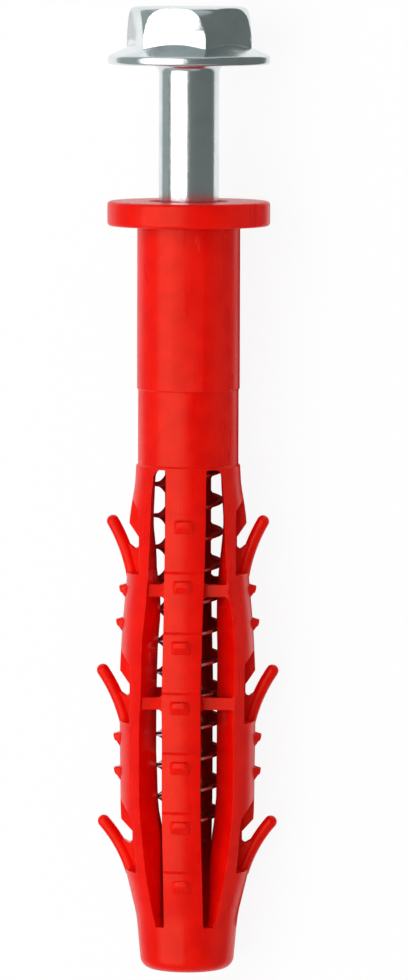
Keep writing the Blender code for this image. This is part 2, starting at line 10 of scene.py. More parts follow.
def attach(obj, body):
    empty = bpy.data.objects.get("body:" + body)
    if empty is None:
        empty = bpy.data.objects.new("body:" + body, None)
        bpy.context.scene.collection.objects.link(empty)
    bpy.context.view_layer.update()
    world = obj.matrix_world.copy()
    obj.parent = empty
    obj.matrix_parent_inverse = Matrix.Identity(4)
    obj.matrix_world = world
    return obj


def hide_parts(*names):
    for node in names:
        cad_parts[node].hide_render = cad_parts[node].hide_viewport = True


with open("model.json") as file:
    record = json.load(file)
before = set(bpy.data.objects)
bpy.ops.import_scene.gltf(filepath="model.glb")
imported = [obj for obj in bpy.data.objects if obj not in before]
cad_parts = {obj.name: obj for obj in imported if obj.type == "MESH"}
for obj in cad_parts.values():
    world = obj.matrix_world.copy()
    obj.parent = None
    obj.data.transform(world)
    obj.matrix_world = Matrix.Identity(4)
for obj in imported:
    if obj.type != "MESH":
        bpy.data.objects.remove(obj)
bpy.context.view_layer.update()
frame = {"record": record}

mm = 0.001  # pieces are drawn upright in millimetres, tip at z = 0, then laid down in metres

placesOnAxis = {"headTop": 112.6}  # height of the head's top face above the sleeve's tip


# Where the fixing lies, read from the record: z towards the head, -y to the side with the pads in view
def fixingMatrix():
    mounts = {mount["name"]: mount for mount in frame["record"]["mounts"]}
    along = Vector(mounts["head_top"]["axis"]).normalized()
    tip = Vector(mounts["head_top"]["pos_m"]) - along * placesOnAxis["headTop"] * mm
    front = Vector(mounts["collar_underside"]["pos_m"]) - tip
    front = (front - along * front.dot(along)).normalized()
    upright = Matrix((along.cross(front), -front, along)).transposed().to_4x4()
    return Matrix.Translation(tip) @ upright @ Matrix.Scale(mm, 4)


fixing = fixingMatrix()


# Mesh helpers
def makeObject(name, bm):
    bmesh.ops.recalc_face_normals(bm, faces=bm.faces)
    mesh = bpy.data.meshes.new(name)
    bm.to_mesh(mesh)
    bm.free()
    made = bpy.data.objects.new(name, mesh)
    bpy.context.scene.collection.objects.link(made)
    return made


def arc(centreX, centreZ, radius, start, end, steps):
    angles = np.radians(np.linspace(start, end, steps + 1))
    return [(centreX + radius * math.cos(a), centreZ + radius * math.sin(a)) for a in angles]


def loft(bm, rings):  # through rings of points that all have the same count, closed at both ends
    rows = [[bm.verts.new(point) for point in ring] for ring in rings]
    for low, high in zip(rows, rows[1:]):
        for i in range(len(low)):
            j = (i + 1) % len(low)
            bm.faces.new((low[i], low[j], high[j], high[i]))
    bm.faces.new(list(reversed(rows[0])))
    bm.faces.new(rows[-1])


# Turns (radius, z) pairs about z, closed into a ring unless they start on the axis
def revolve(bm, profile, steps, turn=0.0):
    onAxis = 0.0001
    rows = []
    for radius, z in profile:
        if radius < onAxis:
            rows.append([bm.verts.new((0, 0, z))])
            continue
        angles = [turn + 2 * math.pi * i / steps for i in range(steps)]
        rows.append([bm.verts.new((radius * math.cos(a), radius * math.sin(a), z)) for a in angles])
    pairs = list(zip(rows, rows[1:]))
    if profile[0][0] > onAxis:
        pairs.append((rows[-1], rows[0]))
    for first, second in pairs:
        for i in range(steps):
            j = (i + 1) % steps
            corners = [first[i % len(first)], first[j % len(first)]]
            corners += [second[j % len(second)], second[i % len(second)]]
            kept = [v for k, v in enumerate(corners) if v not in corners[:k]]
            if len(kept) > 2:
                bm.faces.new(kept)


def prism(bm, outline, low, high):  # an outline in the XZ plane made solid from y = low to y = high
    loft(bm, ([(x, low, z) for x, z in outline], [(x, high, z) for x, z in outline]))


def mirrored(bm, build, sidesX=(1, -1), sidesY=(1,)):
    for sideX in sidesX:
        for sideY in sidesY:
            before = set(bm.verts)
            build(bm)
            new = [v for v in bm.verts if v not in before]
            bmesh.ops.scale(bm, vec=(sideX, sideY, 1), verts=new)


def carve(target, tool, operation):  # applies one Boolean and throws the tool away
    modifier = target.modifiers.new("carve", "BOOLEAN")
    modifier.operation = operation
    modifier.object = tool
    modifier.solver = "EXACT"
    graph = bpy.context.evaluated_depsgraph_get()
    mesh = bpy.data.meshes.new_from_object(target.evaluated_get(graph))
    target.modifiers.clear()
    target.data = mesh
    bpy.data.objects.remove(tool)


def throughPoints(stations):  # a smooth curve through (place, value) pairs that never overshoots them
    xs, ys = (np.array(side, float) for side in zip(*sorted(stations)))
    secants = np.diff(ys) / np.diff(xs)
    slopes = np.zeros(len(xs))
    slopes[0], slopes[-1] = secants[0], secants[-1]
    for k, (before, after) in enumerate(zip(secants, secants[1:]), 1):
        if before * after > 0:
            slopes[k] = 2 * before * after / (before + after)

    def at(x):
        i = int(np.clip(np.searchsorted(xs, x) - 1, 0, len(xs) - 2))
        step = xs[i + 1] - xs[i]
        t = min(max((x - xs[i]) / step, 0.0), 1.0)
        start = (1 + 2 * t) * (1 - t) ** 2 * ys[i] + t * (1 - t) ** 2 * step * slopes[i]
        return start + t * t * (3 - 2 * t) * ys[i + 1] - t * t * (1 - t) * step * slopes[i + 1]

    return at


def finishPiece(made, body, node, material, smoothAngle):
    made.data.transform(fixing)
    made.data.shade_smooth()
    made.data.set_sharp_from_angle(angle=math.radians(smoothAngle))
    made.data.materials.clear()
    made.data.materials.append(material)
    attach(made, body)
    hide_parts(node)
    print(f"made {made.name}: {sum(len(p.vertices) - 2 for p in made.data.polygons)} triangles")


# Node helper: a wire is an output socket, and arithmetic on it adds Math nodes to its tree
class Wire:
    def __init__(self, tree, socket):
        self.tree = tree
        self.socket = socket

    @staticmethod
    def node(tree, kind, settings=None, inputs=None, output=0):
        made = tree.nodes.new(kind)
        for name, value in (settings or {}).items():
            setattr(made, name, value)
        for name, value in (inputs or {}).items():
            if isinstance(value, Wire):
                tree.links.new(value.socket, made.inputs[name])
            else:
                made.inputs[name].default_value = value
        return Wire(tree, made.outputs[output]) if len(made.outputs) else made

    def maths(self, operation, first, second=0.0):
        return Wire.node(self.tree, "ShaderNodeMath", {"operation": operation}, {0: first, 1: second})

    def __add__(self, other):
        return self.maths("ADD", self, other)

    def __mul__(self, other):
        return self.maths("MULTIPLY", self, other)

    __radd__ = __add__
    __rmul__ = __mul__

    def larger(self, other):
        return self.maths("MAXIMUM", self, other)

    def between(self, low, high):  # 0 below low, 1 above high, smooth in between
        settings = {"interpolation_type": "SMOOTHSTEP"}
        inputs = {"Value": self, "From Min": low, "From Max": high}
        return Wire.node(self.tree, "ShaderNodeMapRange", settings, inputs)


def newMaterial(name):
    material = bpy.data.materials.new(name)
    material.use_nodes = True
    material.node_tree.nodes.clear()
    return material, material.node_tree


def objectPlace(tree, stretch=(1, 1, 1)):  # a point on the piece in metres, stretched along its own axes
    place = Wire.node(tree, "ShaderNodeTexCoord", output="Object")
    settings = {"operation": "MULTIPLY"}
    return Wire.node(tree, "ShaderNodeVectorMath", settings, {0: place, 1: stretch})


def noise(tree, place, scale, detail=3.0, roughness=0.5):
    inputs = {"Vector": place, "Scale": scale, "Detail": detail, "Roughness": roughness}
    return Wire.node(tree, "ShaderNodeTexNoise", None, inputs, "Fac")


def mixColours(tree, factor, first, second):
    inputs = {"Factor": factor, 6: (*first, 1) if isinstance(first, tuple) else first}
    inputs[7] = (*second, 1) if isinstance(second, tuple) else second
    return Wire.node(tree, "ShaderNodeMix", {"data_type": "RGBA"}, inputs, 2)


def roundedNormal(tree, edge, height, strength, distance):  # soft moulded edges with a fine bump on top
    settings = {"samples": edge["samples"]}
    soft = Wire.node(tree, "ShaderNodeBevel", settings, {"Radius": edge["radius"] * mm})
    inputs = {"Strength": strength, "Distance": distance, "Height": height, "Normal": soft}
    return Wire.node(tree, "ShaderNodeBump", None, inputs)


# Red nylon: saturated moulding with a satin skin, flow marks along the sleeve and a few pale scuffs
redNylon = {
    "deep": (0.76, 0.0010, 0.0004),
    "warm": (0.83, 0.0035, 0.0006),
    "scuff": (0.86, 0.085, 0.040),
    "mottleScale": 420.0,
    "mottleDetail": 3.0,
    "mottleRange": (0.35, 0.65),
    "flowStretch": (1.0, 0.12, 1.0),
    "flowScale": 900.0,
    "flowDetail": (4.0, 0.6),
    "flowRange": (0.35, 0.65),
    "scuffStretch": (1.0, 0.22, 1.0),
    "scuffScale": 700.0,
    "scuffDetail": (5.0, 0.62),
    "scuffRange": (0.63, 0.70),
    "scuffShare": 0.35,
    "scuffRoughness": 0.15,
    "patchScale": 147.0,
    "patchDetail": 2.0,
    "patchRange": (0.52, 0.66),
    "grainScale": 5200.0,
    "grainDetail": 2.0,
    "grainShare": 0.8,
    "roughness": (0.27, 0.37),
    "subsurface": 0.5,
    "subsurfaceScale": 0.0024,
    "subsurfaceRadius": (1.0, 0.05, 0.03),
    "edge": {"radius": 0.16, "samples": 6},
    "bump": 0.16,
    "bumpHeight": 0.00004,
    "refractiveIndex": 1.5,
    "gloss": 0.21,
    "glossTint": (1.0, 0.88, 0.55),
}


def makeRedNylon():
    material, tree = newMaterial("redNylon")
    place = objectPlace(tree)
    along = objectPlace(tree, redNylon["flowStretch"])
    mottle = noise(tree, place, redNylon["mottleScale"], redNylon["mottleDetail"])
    flow = noise(tree, along, redNylon["flowScale"], *redNylon["flowDetail"])
    scuffPlace = objectPlace(tree, redNylon["scuffStretch"])
    streak = noise(tree, scuffPlace, redNylon["scuffScale"], *redNylon["scuffDetail"])
    patches = noise(tree, place, redNylon["patchScale"], redNylon["patchDetail"])
    scuffs = streak.between(*redNylon["scuffRange"]) * patches.between(*redNylon["patchRange"])
    colour = mixColours(tree, mottle.between(*redNylon["mottleRange"]), redNylon["deep"], redNylon["warm"])
    colour = mixColours(tree, scuffs * redNylon["scuffShare"], colour, redNylon["scuff"])
    grain = noise(tree, place, redNylon["grainScale"], redNylon["grainDetail"])
    smoothest, roughest = redNylon["roughness"]
    roughness = smoothest + flow.between(*redNylon["flowRange"]) * (roughest - smoothest)
    roughness = roughness + scuffs * redNylon["scuffRoughness"]
    height = grain * redNylon["grainShare"] + flow * (1 - redNylon["grainShare"])
    normal = roundedNormal(tree, redNylon["edge"], height, redNylon["bump"], redNylon["bumpHeight"])
    inputs = {"Base Color": colour, "Roughness": roughness, "Normal": normal}
    inputs["Subsurface Weight"] = redNylon["subsurface"]
    inputs["Subsurface Scale"] = redNylon["subsurfaceScale"]
    inputs["Subsurface Radius"] = redNylon["subsurfaceRadius"]
    inputs["IOR"] = redNylon["refractiveIndex"]
    inputs["Specular IOR Level"] = redNylon["gloss"]
    inputs["Specular Tint"] = (*redNylon["glossTint"], 1)
    shader = Wire.node(tree, "ShaderNodeBsdfPrincipled", None, inputs)
    Wire.node(tree, "ShaderNodeOutputMaterial", None, {"Surface": shader})
    return material


# Zinc plating: bright, faintly blue, with a fine peel that breaks up the edges of reflections
zincPlating = {
    "bright": (0.80, 0.84, 0.855),
    "grey": (0.69, 0.745, 0.75),
    "cloudScale": 260.0,
    "cloudDetail": 4.0,
    "cloudRange": (0.3, 0.7),
    "cloudShare": 0.6,
    "peelScale": 2600.0,
    "peelDetail": 3.0,
    "roughness": (0.17, 0.25),
    "edge": {"radius": 0.22, "samples": 6},
    "bump": 0.3,
    "bumpHeight": 0.00003,
}


def makeZincPlating():
    material, tree = newMaterial("zincPlating")
    place = objectPlace(tree)
    cloud = noise(tree, place, zincPlating["cloudScale"], zincPlating["cloudDetail"])
    peel = noise(tree, place, zincPlating["peelScale"], zincPlating["peelDetail"])
    clouds = cloud.between(*zincPlating["cloudRange"])
    colour = mixColours(tree, clouds, zincPlating["bright"], zincPlating["grey"])
    smoothest, roughest = zincPlating["roughness"]
    wear = cloud * zincPlating["cloudShare"] + peel * (1 - zincPlating["cloudShare"])
    roughness = smoothest + wear.between(*zincPlating["cloudRange"]) * (roughest - smoothest)
    normal = roundedNormal(tree, zincPlating["edge"], peel, zincPlating["bump"], zincPlating["bumpHeight"])
    inputs = {"Base Color": colour, "Metallic": 1.0, "Roughness": roughness, "Normal": normal}
    shader = Wire.node(tree, "ShaderNodeBsdfPrincipled", None, inputs)
    Wire.node(tree, "ShaderNodeOutputMaterial", None, {"Surface": shader})
    return material


# The sleeve: one moulding with its collar, shaft, slotted barrel, whiskers, pads and webs
sleeve = {
    "length": 90.0,
    "collarRadius": 9.485,
    "collarThickness": 2.85,
    "collarEdge": 0.4,
    "shaftRadius": 6.0,
    "neckRadius": 5.87,
    "neckTop": 68.2,
    "slottedLength": 59.2,
    "boreRadius": 4.4,
    "mouthChamfer": 0.35,
    "barrelTopRadius": 6.08,
    "tipRadius": 5.5,
    "tipRounding": 1.4,
    "tipSweep": 80.0,
    "tipBoreRadius": 2.85,
    "tipBoreHeight": 3.6,
    "steps": 176,
    "stationGap": 1.0,
    "cornerSteps": 6,
    "smoothAngle": 32.0,
}
barrelOutline = (
    (57.2, 6.19), (54.4, 6.63), (52.4, 6.86), (49.0, 7.02), (45.9, 7.16), (43.1, 7.41),
    (40.5, 7.64), (37.5, 7.81), (34.5, 7.93), (29.0, 7.95), (23.5, 7.88), (19.1, 7.83),
    (15.5, 7.60), (11.5, 7.17), (9.0, 6.60), (6.0, 5.93), (3.4, 5.68),
)
barrelTop = (sleeve["slottedLength"], sleeve["barrelTopRadius"])
barrelTip = (sleeve["tipRounding"], sleeve["tipRadius"])
barrelRadius = throughPoints((barrelTop, *barrelOutline, barrelTip))


def sleeveProfile():
    s, steps = sleeve, sleeve["cornerSteps"]
    underside = s["length"] - s["collarThickness"]
    edgeX = s["collarRadius"] - s["collarEdge"]
    outer = [(s["boreRadius"] + s["mouthChamfer"], s["length"])]
    outer += arc(edgeX, s["length"] - s["collarEdge"], s["collarEdge"], 90, 0, steps)
    outer += arc(edgeX, underside + s["collarEdge"], s["collarEdge"], 0, -90, steps)
    outer += [(s["shaftRadius"], underside), (s["shaftRadius"], s["neckTop"])]
    outer += [(s["neckRadius"], s["neckTop"] - (s["shaftRadius"] - s["neckRadius"]))]
    shoulder = s["barrelTopRadius"] - s["neckRadius"]
    outer += [(s["neckRadius"], s["slottedLength"] + shoulder)]
    heights = np.arange(s["slottedLength"], s["tipRounding"], -s["stationGap"])
    outer += [(barrelRadius(z), z) for z in heights]
    tipX = s["tipRadius"] - s["tipRounding"]
    outer += arc(tipX, s["tipRounding"], s["tipRounding"], 0, -s["tipSweep"], steps)
    outer += [(tipX, 0.0)]
    bore = [(s["tipBoreRadius"], 0.0), (s["boreRadius"], s["tipBoreHeight"])]
    return outer + bore + [(s["boreRadius"], s["length"] - s["mouthChamfer"])]


# Slots that part the strips from the side wings: (height, distance from the middle) on each side
# Side 1 is the left in front and the right behind
slots = {
    "top": 59.0,
    "wingRounding": 1.0,
    "stripRounding": 0.25,
    "wingShare": 0.6,
    "stripShare": 0.2,
    "boreOverlap": 0.6,
    "reach": 2.0,
    "leastWidth": 0.03,
}
stripHalf = throughPoints(((5.0, 2.29), (20.0, 2.25), (40.0, 2.26), (48.0, 2.33), (60.0, 2.35)))
stripShift = throughPoints((
    (5.0, 0.3), (11.0, 0.4), (16.0, 0.52), (22.0, 0.59), (27.0, 0.58), (32.0, 0.62), (38.0, 0.5),
    (44.0, 0.36), (50.0, 0.22), (53.4, 0.16), (60.0, 0.12),
))
frontSlots = {
    "bottom": 5.4,
    "inner": {
        1: throughPoints((
            (5.0, 2.95), (15.3, 2.98), (16.4, 3.08), (17.6, 3.25), (20.8, 3.48), (22.3, 3.54), (27.0, 3.6),
            (32.9, 3.54), (38.0, 3.42), (40.4, 3.24), (42.1, 3.12), (44.0, 3.12), (46.6, 3.45), (48.1, 3.62),
            (50.5, 3.8), (52.8, 3.94), (56.3, 3.82), (60.0, 3.6),
        )),
        -1: throughPoints((
            (5.0, 2.6), (8.0, 2.62), (11.8, 2.68), (14.4, 2.86), (16.4, 3.1), (17.6, 3.22), (20.8, 3.42),
            (27.0, 3.46), (37.6, 3.5), (42.2, 3.42), (46.6, 3.6), (48.1, 3.74), (50.5, 4.0), (52.8, 4.15),
            (56.3, 3.95), (60.0, 3.8),
        )),
    },
    "edge": {
        1: throughPoints((
            (6.4, 3.76), (7.9, 4.1), (9.0, 4.28), (11.1, 4.63), (13.5, 4.95), (15.8, 5.18), (18.2, 5.4),
            (22.9, 5.56), (27.6, 5.54), (30.4, 5.5), (32.3, 5.38), (38.1, 5.24), (44.0, 4.74), (46.3, 4.58),
            (51.0, 4.34), (55.7, 4.17), (58.1, 3.95),
        )),
        -1: throughPoints((
            (6.4, 3.52), (7.9, 3.82), (9.0, 4.08), (11.1, 4.45), (13.5, 4.85), (15.8, 5.14), (18.2, 5.35),
            (20.5, 5.46), (25.0, 5.5), (30.4, 5.42), (32.3, 5.62), (38.1, 5.6), (41.5, 5.35), (44.0, 5.0),
            (45.4, 4.76), (51.0, 4.47), (55.7, 4.25), (58.1, 4.1),
        )),
    },
    "closing": None,
}
backEdge = throughPoints((
    (6.7, 3.85), (8.6, 4.24), (12.5, 4.85), (15.6, 5.2), (20.0, 5.62), (27.2, 5.76), (34.2, 5.68),
    (37.8, 5.6), (40.7, 5.38), (44.2, 4.85), (50.0, 4.45), (54.8, 4.22), (58.0, 4.0),
))
backSlots = {  # these close to a point above the tip, as the openings do in the photo
    "bottom": 13.2,
    "inner": {
        1: throughPoints((
            (12.0, 2.59), (13.5, 2.62), (14.4, 2.73), (15.8, 2.92), (16.7, 3.06), (17.9, 3.17), (19.1, 3.25),
            (21.5, 3.5), (38.0, 3.6), (45.0, 3.62), (48.5, 3.8), (50.5, 4.1), (53.0, 4.2), (56.0, 4.1),
            (60.0, 3.9),
        )),
        -1: throughPoints((
            (12.0, 2.9), (16.4, 3.02), (17.2, 3.18), (18.1, 3.36), (19.3, 3.47), (20.5, 3.54), (22.8, 3.6),
            (25.2, 3.71), (38.0, 3.71), (45.0, 3.66), (48.5, 3.72), (50.5, 3.9), (53.0, 4.1), (56.0, 4.0),
            (60.0, 3.85),
        )),
    },
    "edge": {1: backEdge, -1: backEdge},
    "closing": throughPoints((
        (13.2, 0.02), (14.6, 0.42), (15.6, 0.64), (17.0, 0.86), (18.3, 0.96), (19.6, 1.0), (60.0, 1.0),
    )),
}


def edgeDepth(z, side):  # how far in front of the axis a wing's edge lies
    return math.sqrt(barrelRadius(z) ** 2 - frontSlots["edge"][side](z) ** 2)


def cornerInset(rounding, drop):
    reach = max(rounding - drop, 0.0)
    return rounding - math.sqrt(rounding ** 2 - reach ** 2)


# One slot's outline at height z, drawn behind; the strips stand off centre, turned about the axis alike
def slotSection(z, side, shape, drop=math.inf):
    stripX = stripHalf(z) + side * stripShift(z)
    innerX = max(shape["inner"][side](z), stripX + slots["leastWidth"])
    outerX = shape["edge"][side](z)
    if shape["closing"]:
        outerX = max(stripX + (outerX - stripX) * shape["closing"](z), innerX + slots["leastWidth"])
    innerY = math.sqrt(sleeve["boreRadius"] ** 2 - innerX ** 2)
    depth = math.sqrt(barrelRadius(z) ** 2 - outerX ** 2)
    farY = barrelRadius(z) + slots["reach"]
    farX = innerX + (outerX - innerX) * (farY - innerY) / (depth - innerY)
    width = innerX - stripX
    inset = min(cornerInset(slots["wingRounding"], drop), slots["wingShare"] * width)
    stripX += min(cornerInset(slots["stripRounding"], drop), slots["stripShare"] * width)
    nearY = innerY - slots["boreOverlap"]
    wing = ((innerX - inset, nearY), (innerX - inset, innerY), (farX - inset, farY))
    return [(side * x, y, z) for x, y in ((stripX, nearY), *wing, (stripX, farY))]


def buildSlots(bm, shape=frontSlots):
    ends = slots["wingRounding"] * (1 - np.sin(np.linspace(0, math.pi / 2, sleeve["cornerSteps"] + 1)))
    low, high = shape["bottom"] + ends[0], slots["top"] - ends[0]
    for side in (1, -1):
        rings = [slotSection(shape["bottom"] + drop, side, shape, drop) for drop in reversed(ends)]
        middle = np.arange(low + sleeve["stationGap"], high, sleeve["stationGap"])
        rings += [slotSection(z, side, shape) for z in middle]
        rings += [slotSection(slots["top"] - drop, side, shape, drop) for drop in ends]
        loft(bm, rings)


def buildBackSlots(bm):
    buildSlots(bm, backSlots)


# Saw teeth down the two strips, each ledge facing the head
teeth = {
    "bottom": 12.0,
    "pitch": 7.0,
    "count": 6,
    "depth": 0.32,
    "skin": 0.03,
    "ramp": 0.3,
    "shares": (0.0, 0.25, 0.5, 0.75),
    "halfWidth": 3.02,
}


def buildTeeth():
    ring = bmesh.new()
    top = teeth["bottom"] + teeth["count"] * teeth["pitch"]
    line = []
    for i in range(teeth["count"]):
        ledge = teeth["bottom"] + i * teeth["pitch"]
        line.append((barrelRadius(ledge) - teeth["skin"], ledge))
        for share in teeth["shares"]:
            z = ledge + teeth["ramp"] + share * (teeth["pitch"] - teeth["ramp"])
            line.append((barrelRadius(z) - teeth["skin"] - teeth["depth"] * (1 - share), z))
    line.append((barrelRadius(top) - teeth["skin"], top))
    reach = sleeve["collarRadius"]
    revolve(ring, [(reach, top), (reach, teeth["bottom"]), *line], sleeve["steps"])
    rings = makeObject("teeth", ring)
    box = bmesh.new()
    half = teeth["halfWidth"]
    outline = [(-half, 0), (half, 0), (half, sleeve["length"]), (-half, sleeve["length"])]
    prism(box, outline, -sleeve["collarRadius"] * 2, sleeve["collarRadius"] * 2)
    carve(rings, makeObject("window", box), "INTERSECT")
    return rings


# Whisker barbs, each on a thin plate left between two pockets in the wing
whiskers = (
    {"tip": (8.77, 52.6), "slopes": (10.0, 30.0), "root": 46.3, "gapX": 5.73, "gapFloor": 49.4,
     "corner": (6.84, 52.45), "floor": 46.65, "floorX": 5.62, "top": 54.1},
    {"tip": (9.92, 35.08), "slopes": (13.0, 34.0), "root": 28.8, "gapX": 6.77, "gapFloor": 32.1,
     "corner": (7.93, 35.2), "floor": 29.25, "floorX": 6.66, "top": 36.1},
    {"tip": (9.78, 17.28), "slopes": (17.0, 41.0), "root": 11.4, "gapX": 6.42, "gapFloor": 14.8,
     "corner": (7.83, 17.75), "floor": 11.7, "floorX": 5.80, "top": 18.0},
)
whiskerShape = {
    "thickness": 1.45,
    "width": 1.9,
    "sunkRoot": 1.0,
    "rootShare": 0.6,
    "squareness": 2.5,
    "steps": 20,
    "sides": 28,
    "tipAngles": (10, 20, 30, 40, 50, 60, 70, 79, 86),
    "plateHalfWidth": 0.8,
    "pocketRunOut": 55.0,
    "pocketSetBack": 0.08,
    "gapRise": 1.4,
    "gapReach": 1.5,
    "gapOverlap": 0.3,
    "gapRounding": 0.4,
    "gapStart": 1.1,
}


def whiskerLine(whisker):  # (x, z, slope) from the sunk root to the tip, on an arc
    rootSlope, tipSlope = (math.radians(a) for a in whisker["slopes"])
    tipX, tipZ = whisker["tip"]
    chord = (tipZ - whisker["root"]) / math.cos((rootSlope + tipSlope) / 2)
    radius = chord / (2 * math.sin((tipSlope - rootSlope) / 2))
    points = []
    for slope in np.linspace(rootSlope, tipSlope, whiskerShape["steps"] + 1):
        x = tipX + radius * (math.cos(tipSlope) - math.cos(slope))
        points.append((x, tipZ + radius * (math.sin(slope) - math.sin(tipSlope)), slope))
    firstX, firstZ, _ = points[0]
    sunk = whiskerShape["sunkRoot"]
    root = (firstX - sunk * math.sin(rootSlope), firstZ - sunk * math.cos(rootSlope), rootSlope)
    return [root, *points]


def whiskerRing(x, z, slope, share):  # a rounded oblong across the whisker's line
    ring = []
    power = 2 / whiskerShape["squareness"]
    for angle in np.linspace(0, 2 * math.pi, whiskerShape["sides"], endpoint=False):
        c, s = math.cos(angle), math.sin(angle)
        across = math.copysign(abs(c) ** power, c) * whiskerShape["thickness"] / 2 * share
        depth = math.copysign(abs(s) ** power, s) * whiskerShape["width"] / 2 * share
        ring.append((x + across * math.cos(slope), depth, z - across * math.sin(slope)))
    return ring


def buildWhiskers(bm):
    for whisker in whiskers:
        line = whiskerLine(whisker)
        rings = [whiskerRing(*line[0], whiskerShape["rootShare"])]
        rings += [whiskerRing(*point, 1.0) for point in line[1:]]
        tipX, tipZ, slope = line[-1]
        for angle in np.radians(whiskerShape["tipAngles"]):
            rise = math.sin(angle) * whiskerShape["thickness"] / 2
            x, z = tipX + rise * math.sin(slope), tipZ + rise * math.cos(slope)
            rings.append(whiskerRing(x, z, slope, math.cos(angle)))
        loft(bm, rings)


def buildPockets(bm):
    for whisker in whiskers:
        side = whisker["gapX"] - whiskerShape["pocketSetBack"]
        reach = sleeve["collarRadius"] + slots["reach"]
        topOut = whisker["top"] + (reach - side) * math.tan(math.radians(whiskerShape["pocketRunOut"]))
        outline = [(whisker["floorX"], whisker["floor"]), (reach, whisker["floor"])]
        outline += [(reach, topOut), (side, whisker["top"])]
        prism(bm, outline, whiskerShape["plateHalfWidth"], sleeve["collarRadius"])


def buildGaps(bm):
    rounding = whiskerShape["gapRounding"]
    halfWidth = whiskerShape["plateHalfWidth"] + whiskerShape["gapOverlap"]
    for whisker in whiskers:
        side, floor = whisker["gapX"], whisker["gapFloor"]
        cornerX, cornerZ = whisker["corner"]
        shoulderZ = floor + whiskerShape["gapRise"]
        lean = (cornerZ - shoulderZ) / (cornerX - side)
        reach = whiskerShape["gapReach"]
        outline = arc(side + rounding, floor + rounding, rounding, 270, 180, sleeve["cornerSteps"])
        outline += [(side, shoulderZ), (cornerX + reach, cornerZ + reach * lean)]
        centre = [(x, z) for x, z, _ in whiskerLine(whisker) if z > floor + whiskerShape["gapStart"]]
        prism(bm, outline + list(reversed(centre)), -halfWidth, halfWidth)


# Raised pads down the strips and nubs down the sides: drafted sides, steepest towards the head
pads = {"bottom": 10.5, "pitch": 7.0, "count": 7, "side": 0.2, "width": 2.2, "height": 1.5, "proud": 0.38,
        "edgeRound": 0.12}
nubs = {"heights": (44.4, 40.45, 27.0, 23.0), "width": 2.1, "height": 1.65, "proud": 0.74,
        "edgeRound": 0.34}
raisedShape = {
    "root": 0.8,
    "foot": 0.05,
    "mostCorner": (0.95, 0.48),
    "mostSide": 0.8,
    "cornerRadius": 0.28,
    "cornerSteps": 4,
    "edgeTurns": (0, 30, 60, 90),
    "sideDraft": 0.3,
    "topDraft": 0.12,
    "footDraft": 0.62,
}


def roundedRectangle(halfWidth, low, high, radius):
    steps = raisedShape["cornerSteps"]
    widthShare, heightShare = raisedShape["mostCorner"]
    radius = min(radius, halfWidth * widthShare, (high - low) * heightShare)
    x = halfWidth - radius
    points = arc(x, low + radius, radius, -90, 0, steps) + arc(x, high - radius, radius, 0, 90, steps)
    points += arc(-x, high - radius, radius, 90, 180, steps) + arc(-x, low + radius, radius, 180, 270, steps)
    return points


def buildRaised(bm, angle, z, shape):
    surface = barrelRadius(z)
    halfWidth, low, high = shape["width"] / 2, z - shape["height"] / 2, z + shape["height"] / 2
    r = raisedShape
    layers = [(surface - r["root"], 0.0), (surface - r["foot"], 0.0)]
    for turn in r["edgeTurns"]:
        rise = shape["proud"] - shape["edgeRound"] * (1 - math.sin(math.radians(turn)))
        spread = shape["edgeRound"] * (1 - math.cos(math.radians(turn)))
        layers.append((surface + rise, 1.0 + spread / r["sideDraft"]))
    rings = []
    for radius, share in layers:
        side = min(share * r["sideDraft"], halfWidth * r["mostSide"])
        foot = low + share * r["footDraft"]
        head = high - share * r["topDraft"]
        outline = roundedRectangle(halfWidth - side, foot, head, r["cornerRadius"])
        rings.append([(radius, x, height) for x, height in outline])
    before = set(bm.verts)
    loft(bm, rings)
    new = [v for v in bm.verts if v not in before]
    bmesh.ops.rotate(bm, verts=new, matrix=Matrix.Rotation(angle, 3, "Z"))


def buildAllRaised(bm):
    quarter = math.pi / 2
    for i in range(pads["count"]):
        z = pads["bottom"] + i * pads["pitch"]
        turn = (stripShift(z) + pads["side"]) / barrelRadius(z)
        for angle in (quarter, -quarter):
            buildRaised(bm, angle - turn, z, pads)
    for z in nubs["heights"]:
        for angle in (0.0, 2 * quarter):
            buildRaised(bm, angle, z, nubs)


# Webs that tie the strips to the wings until the screw spreads them, flared where they meet
webs = {
    "heights": (44.95, 31.76),
    "height": 1.42,
    "setBack": 0.27,
    "rise": 0.21,
    "thickness": 0.75,
    "sunkEnd": 0.15,
    "flare": 0.3,
    "flareLength": 0.45,
    "steps": 90,
}


def buildWebs(bm):  # bars across the strip, just behind the wings' edges and rising to one of them
    for z in webs["heights"]:
        low, high = -frontSlots["edge"][-1](z), frontSlots["edge"][1](z)
        ends = (low, stripShift(z) - stripHalf(z), stripShift(z) + stripHalf(z), high)
        front = (edgeDepth(z, 1) + edgeDepth(z, -1)) / 2 - webs["setBack"]
        back = front - webs["thickness"]
        rings = []
        for x in np.linspace(low - webs["sunkEnd"], high + webs["sunkEnd"], webs["steps"]):
            near = max(1 - min(abs(x - end) for end in ends) / webs["flareLength"], 0.0)
            half = webs["height"] / 2 + webs["flare"] * near ** 2
            out = front + webs["rise"] * min(max((ends[1] - x) / (ends[1] - low), 0.0), 1.0)
            rings.append([(x, back, z - half), (x, out, z - half), (x, out, z + half), (x, back, z + half)])
        loft(bm, rings)


flats = {"halfWidth": 1.88, "margin": 0.15, "toolDepth": 0.4}


def buildFlats(bm):
    radius = sleeve["shaftRadius"]
    face = math.sqrt(radius ** 2 - flats["halfWidth"] ** 2)
    low = sleeve["neckTop"] - flats["margin"]
    high = sleeve["length"] - sleeve["collarThickness"] - flats["margin"]
    outline = [(-radius, low), (radius, low), (radius, high), (-radius, high)]
    prism(bm, outline, face, face + 2 * flats["toolDepth"])


